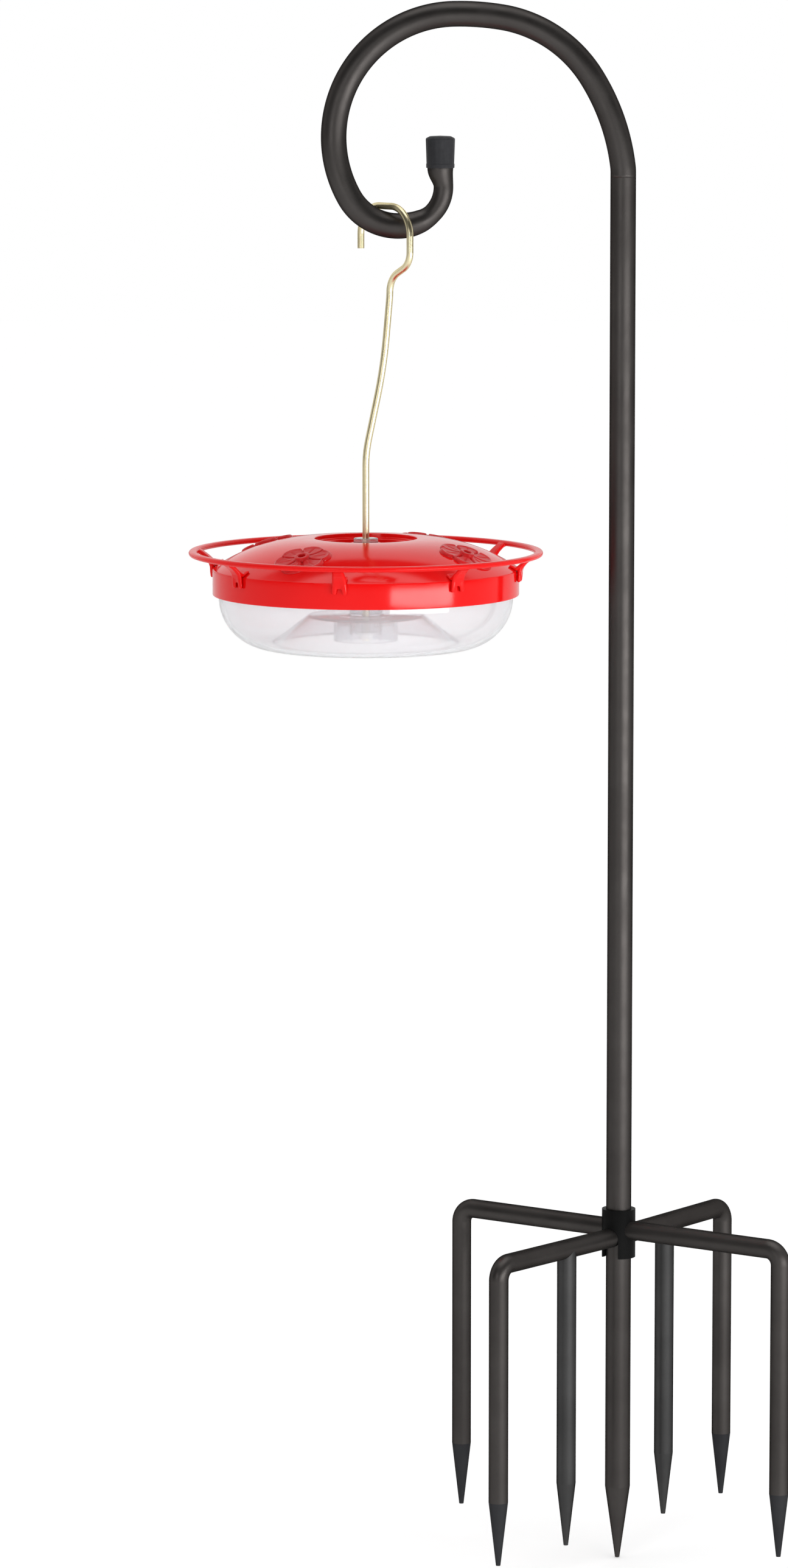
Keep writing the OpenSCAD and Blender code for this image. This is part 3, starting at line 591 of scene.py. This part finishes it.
def rib_mesh():
    """Six ribs between the post and the skirt, each let into both by RIB_BITE."""
    long = SKIRT_R - BASIN_WALL - POST_LOW_R + 2 * RIB_BITE
    tall = RISE_Z - BASIN_WALL - RIB_END + RIB_BITE
    middle = Vector((POST_LOW_R + long / 2 - RIB_BITE, 0, RIB_END + tall / 2))
    size = Matrix.Diagonal((long * MM, RIB_W * MM, tall * MM, 1.0))
    ribs = bmesh.new()
    for k in range(RIBS):
        spin = Matrix.Translation(FEEDER) @ Matrix.Rotation(2 * math.pi * k / RIBS, 4, "Z")
        bmesh.ops.create_cube(ribs, size=1.0, matrix=spin @ Matrix.Translation(middle * MM) @ size)
    mesh = bpy.data.meshes.new("ribs")
    ribs.to_mesh(mesh)
    ribs.free()
    return mesh


def basin():
    """The clear bowl with its central rise, skirt, ribs and post."""
    floor_z, roof_z, skirt_ir = BASIN_Z + BASIN_WALL, RISE_Z - BASIN_WALL, SKIRT_R - BASIN_WALL
    lip = [(BASIN_R - BASIN_WALL, LIP_H, 0.8), (BASIN_R, LIP_H, 0.8)]
    under = [(RISE_FOOT - BASIN_WALL / 2, BASIN_Z, 0.8), (RISE_TOP - BASIN_WALL / 2, roof_z, 2.5),
             (SKIRT_R, roof_z, 0.8), (SKIRT_R, floor_z, 0.6), (skirt_ir, floor_z, 0.6),
             (skirt_ir, roof_z, 0.8)]
    post = [(POST_LOW_R, roof_z, 0.8), (POST_LOW_R, POST_END, 0.6), (BORE_R, POST_END, 0.3),
            (BORE_R, COVER_H, 0.3), (POST_R, COVER_H, 0.8), (POST_R, POST_LOW_TOP, 0.4),
            (POST_LOW_R, POST_LOW_TOP, 0.6), (POST_LOW_R, RISE_Z, 1.5)]
    rise = [(RISE_TOP, RISE_Z, 3.0), (RISE_FOOT, floor_z, 3.0)]
    corners = lip + bowl(BOWL_R, 0, -90) + under + post + rise + bowl(BOWL_R - BASIN_WALL, -90, 0)
    shell = mesh_object("basin_shell", *revolve(rounded(corners, 5), FEEDER, BASIN_STEPS))
    ribs = bpy.data.objects.new("ribs", rib_mesh())
    for obj in (shell, ribs):
        show(obj)
        face_outward(obj.data)
    join = shell.modifiers.new("join", "BOOLEAN")
    join.operation = "UNION"
    join.solver = "EXACT"
    join.object = ribs
    done = bpy.data.objects.new("clear_basin", applied(shell))
    bpy.data.objects.remove(shell)
    bpy.data.objects.remove(ribs)
    dress(done, CLEAR, "basin", "clear_plastic", "feeder_basin")


basin()

# ---------------------------------------------------------------- floor
FLOOR_HALF, FLOOR_GAP = 12.0, 0.5 * MM
FLOOR_PAINT, FLOOR_GLOW = 0.9, 0.2

scene = bpy.context.scene
scene.view_settings.view_transform = "Standard"

floor_corners = [(x * FLOOR_HALF, y * FLOOR_HALF, 0) for x, y in ((-1, -1), (1, -1), (1, 1), (-1, 1))]
floor = mesh_object("floor", floor_corners, [(0, 1, 2, 3)])
floor.location.z = TIP_Z - FLOOR_GAP
show(floor)
# Seen directly or through clear plastic, the paint glows a little, so it is as white as the world.
paint, paint_shader = material("floor_paint", Roughness=0.9, Specular_IOR_Level=0.0,
                               Base_Color=(*grey(FLOOR_PAINT), 1.0))
paint_path = add(paint, "ShaderNodeLightPath")
paint_seen = add(paint, "ShaderNodeMath", operation="MAXIMUM")
link(paint, paint_path, "Is Camera Ray", paint_seen, 0)
link(paint, paint_path, "Is Transmission Ray", paint_seen, 1)
paint_level = add(paint, "ShaderNodeMath", operation="MULTIPLY")
paint_level.inputs[1].default_value = FLOOR_GLOW
link(paint, paint_seen, "Value", paint_level, 0)
paint_glow = add(paint, "ShaderNodeEmission", Color=(*grey(1.0), 1.0))
link(paint, paint_level, "Value", paint_glow, "Strength")
paint_sum = add(paint, "ShaderNodeAddShader")
link(paint, paint_shader, "BSDF", paint_sum, 0)
link(paint, paint_glow, "Emission", paint_sum, 1)
link(paint, paint_sum, "Shader", paint.node_tree.nodes["Material Output"], "Surface")
floor.data.materials.append(paint)

# ---------------------------------------------------------------- world
# The studio: white seen directly and through clear plastic, a white sweep behind the
# object, a dark gap over it and a pale ceiling in reflections, and a soft fill for the rest.
# Each pair is where a smooth step along one axis of the direction looked in is 0 and 1.
SWEEP_BEHIND, SWEEP_FOOT, SWEEP_SIDES = (-0.3, 0.3), (-0.02, 0.03), (0.25, 0.5)
GAP_FOOT, CEILING_EDGE = (0.74, 0.68), (0.85, 0.9)
SWEEP_LEVEL, CEILING_LEVEL, GLOSSY_LEVEL = 0.9, 2.2, 0.04
FILL_LEVEL, FILL_SIDES, FILL_TOP = 0.22, 0.55, 0.8

world = bpy.data.worlds.new("studio")
scene.world = world
world.use_nodes = True
tree = world.node_tree
tree.nodes.clear()


def sky(kind, *inputs, **settings):
    """A world node. Each input is a number, a (node, output) pair, or None to leave it."""
    node = tree.nodes.new(kind)
    for key, value in settings.items():
        setattr(node, key, value)
    for at, source in enumerate(inputs):
        if isinstance(source, tuple):
            tree.links.new(source[0].outputs[source[1]], node.inputs[at])
        elif source is not None:
            node.inputs[at].default_value = source
    return node


def step(source, at_0, at_1):
    """A smooth step that is 0 at at_0 and beyond, and 1 at at_1 and beyond."""
    return sky("ShaderNodeMapRange", source, at_0, at_1, 0.0, 1.0,
               interpolation_type="SMOOTHSTEP"), "Result"


def maths(operation, first, *others):
    """One operation over its values, two at a time."""
    for other in others:
        first = sky("ShaderNodeMath", first, other, operation=operation), "Value"
    return first


def mix(factor, at_0, at_1):
    """at_0 where the factor is 0, and at_1 where it is 1."""
    return sky("ShaderNodeMix", factor, None, at_0, at_1), 0


aim = sky("ShaderNodeSeparateXYZ", (sky("ShaderNodeTexCoord"), "Generated"))
high = (aim, "Z")
side = maths("ABSOLUTE", (aim, "X"), 0.0)
outside_gap = maths("MAXIMUM", step(high, *GAP_FOOT), step(side, *SWEEP_SIDES))
sweep = maths("MULTIPLY", outside_gap, step((aim, "Y"), *SWEEP_BEHIND), step(high, *SWEEP_FOOT),
              SWEEP_LEVEL)
ceiling = maths("MULTIPLY", step(high, *CEILING_EDGE), CEILING_LEVEL)
mirrored = maths("ADD", maths("MAXIMUM", ceiling, sweep), GLOSSY_LEVEL)
from_sides = maths("MULTIPLY", side, side, FILL_SIDES)
from_top = maths("MULTIPLY", maths("MAXIMUM", high, 0.0), FILL_TOP)
soft = maths("ADD", from_sides, from_top, FILL_LEVEL)
path = sky("ShaderNodeLightPath")
through = maths("MINIMUM", (path, "Transmission Depth"), 1.0)
seen = maths("MAXIMUM", (path, "Is Camera Ray"), through)
level = mix(seen, mix((path, "Is Glossy Ray"), soft, mirrored), 1.0)
glow = sky("ShaderNodeBackground", None, level)
glow.inputs["Color"].default_value = (*grey(1.0), 1.0)
sky("ShaderNodeOutputWorld", (glow, "Background"))


# ---------------------------------------------------------------- lamps
def softbox(name, at, aim_at, width, height, power):
    data = bpy.data.lights.new(name, "AREA")
    data.shape = "RECTANGLE"
    data.size = width
    data.size_y = height
    data.energy = power
    lamp = bpy.data.objects.new(name, data)
    lamp.location = at
    lamp.rotation_euler = (Vector(aim_at) - Vector(at)).to_track_quat("-Z", "Y").to_euler()
    show(lamp)


# A broad key on the left, and a low strip on the right that the band mirrors.
softbox("key", (-1.2, -2.45, 0.76), (-0.05, 0, 0.35), width=0.9, height=0.5, power=7.5)
STRIP_FAR, STRIP_DROP, STRIP_H = 1.6, -0.13, 0.16
STRIP_TURN, STRIP_HALF_SPAN = math.radians(42.6), math.radians(24.2)
strip_way = Vector((math.sin(STRIP_TURN), -math.cos(STRIP_TURN), STRIP_DROP))
softbox("strip", FEEDER + strip_way * STRIP_FAR, FEEDER,
        width=2 * STRIP_FAR * math.tan(STRIP_HALF_SPAN), height=STRIP_H * STRIP_FAR, power=13.5)

# ---------------------------------------------------------------- camera
CAMERA_AT, LOOKS_DOWN = (-0.13406, -3.9261, 0.7949), 7.5
LENS, SENSOR = 153.7, 36.0

camera_data = bpy.data.cameras.new("camera")
camera_data.lens = LENS
camera_data.sensor_fit = "VERTICAL"
camera_data.sensor_height = SENSOR
camera = bpy.data.objects.new("camera", camera_data)
camera.location = CAMERA_AT
camera.rotation_euler = (math.radians(90 - LOOKS_DOWN), 0, 0)
show(camera)
scene.camera = camera
